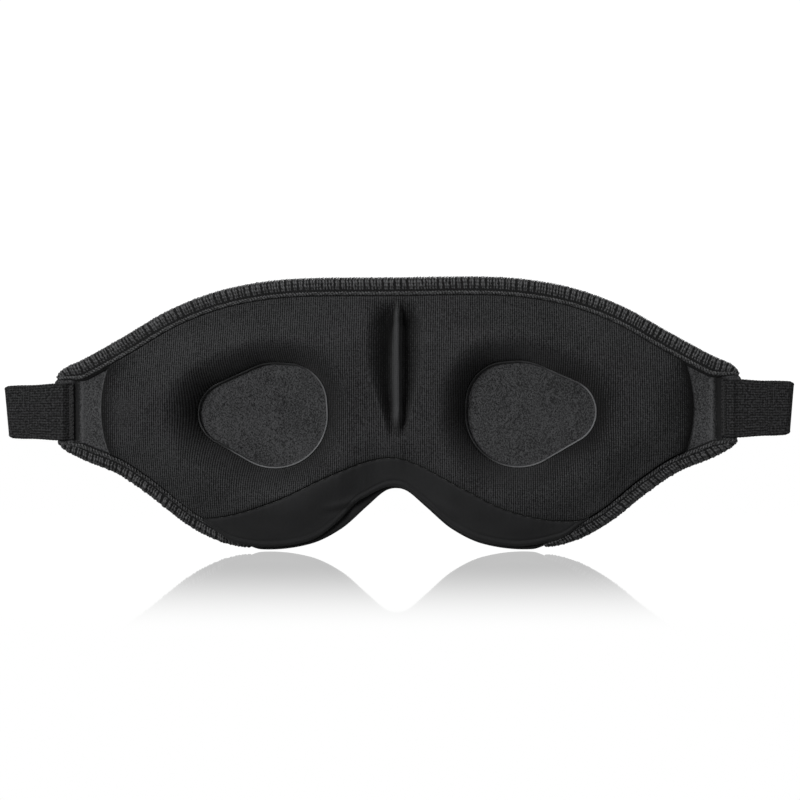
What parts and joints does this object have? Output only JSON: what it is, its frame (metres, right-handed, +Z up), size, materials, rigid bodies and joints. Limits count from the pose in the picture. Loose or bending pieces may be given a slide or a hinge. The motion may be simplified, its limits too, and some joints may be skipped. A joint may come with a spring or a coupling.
{
  "type": "sleep eye mask",
  "caption": "Contoured sleep eye mask with padded eye cups, a nose flap, bound edges and an elastic hook-and-loop strap folded back.",
  "frame": {"origin": "on the padded nose bridge, on the symmetry plane, at eye level", "axes": "+X along the mask's width towards the wearer's right, +Y away from the face, +Z up"},
  "size_m": [0.269, 0.0308, 0.0931],
  "materials": {
    "front_fabric": "smooth brushed knit",
    "foam": "open-cell foam",
    "lining_fabric": "brushed lining",
    "rib_knit": "fine ribbed knit",
    "flap_fabric": "smooth stretch fabric",
    "edge_binding": "overlock thread over tape",
    "thread": "twisted thread",
    "elastic": "woven elastic",
    "hook_tape": "moulded hooks",
    "loop_tape": "napped loops"
  },
  "bodies": {
    "mask": {"front_cover": "front_fabric", "shell_core": "foam", "shell_lining": "lining_fabric", "pad_foam": "foam", "pad_cover": "rib_knit", "nose_flap": "flap_fabric", "nose_flap_foam": "foam", "binding_top": "edge_binding", "binding_left": "edge_binding", "binding_right": "edge_binding", "top_stitches": "thread", "left_edge_stitches": "thread", "right_edge_stitches": "thread", "flap_stitches": "thread", "left_strap_anchor": "elastic", "left_anchor_stitches": "thread", "right_strap_anchor": "elastic", "right_anchor_stitches": "thread"},
    "left_strap_root": {"left_strap_bend": "elastic", "left_strap_root": "elastic"},
    "left_strap_tail": {"left_strap_fold": "elastic", "left_strap_tail": "elastic", "hook_patch": "hook_tape", "hook_patch_stitches": "thread"},
    "right_strap_root": {"right_strap_bend": "elastic", "right_strap_root": "elastic"},
    "right_strap_tail": {"right_strap_fold": "elastic", "right_strap_tail": "elastic", "loop_patch": "loop_tape", "loop_patch_stitches": "thread"}
  },
  "joints": [
    {"name": "left_root_bend", "type": "hinge", "parent": "mask", "child": "left_strap_root", "pos_m": [-0.118, 0.0005, 0.0013], "axis": [0, 0, 1], "range_deg": [0, 85], "deforming": ["left_strap_bend"]},
    {"name": "left_fold_open", "type": "hinge", "parent": "left_strap_root", "child": "left_strap_tail", "pos_m": [-0.1321, 0.0023, 0.0013], "axis": [0, 0, 1], "range_deg": [0, 165], "deforming": ["left_strap_fold"]},
    {"name": "right_root_bend", "type": "hinge", "parent": "mask", "child": "right_strap_root", "pos_m": [0.118, 0.0005, 0.0013], "axis": [0, 0, -1], "range_deg": [0, 85], "deforming": ["right_strap_bend"]},
    {"name": "right_fold_open", "type": "hinge", "parent": "right_strap_root", "child": "right_strap_tail", "pos_m": [0.1321, 0.0023, 0.0013], "axis": [0, 0, -1], "range_deg": [0, 165], "deforming": ["right_strap_fold"]}
  ]
}
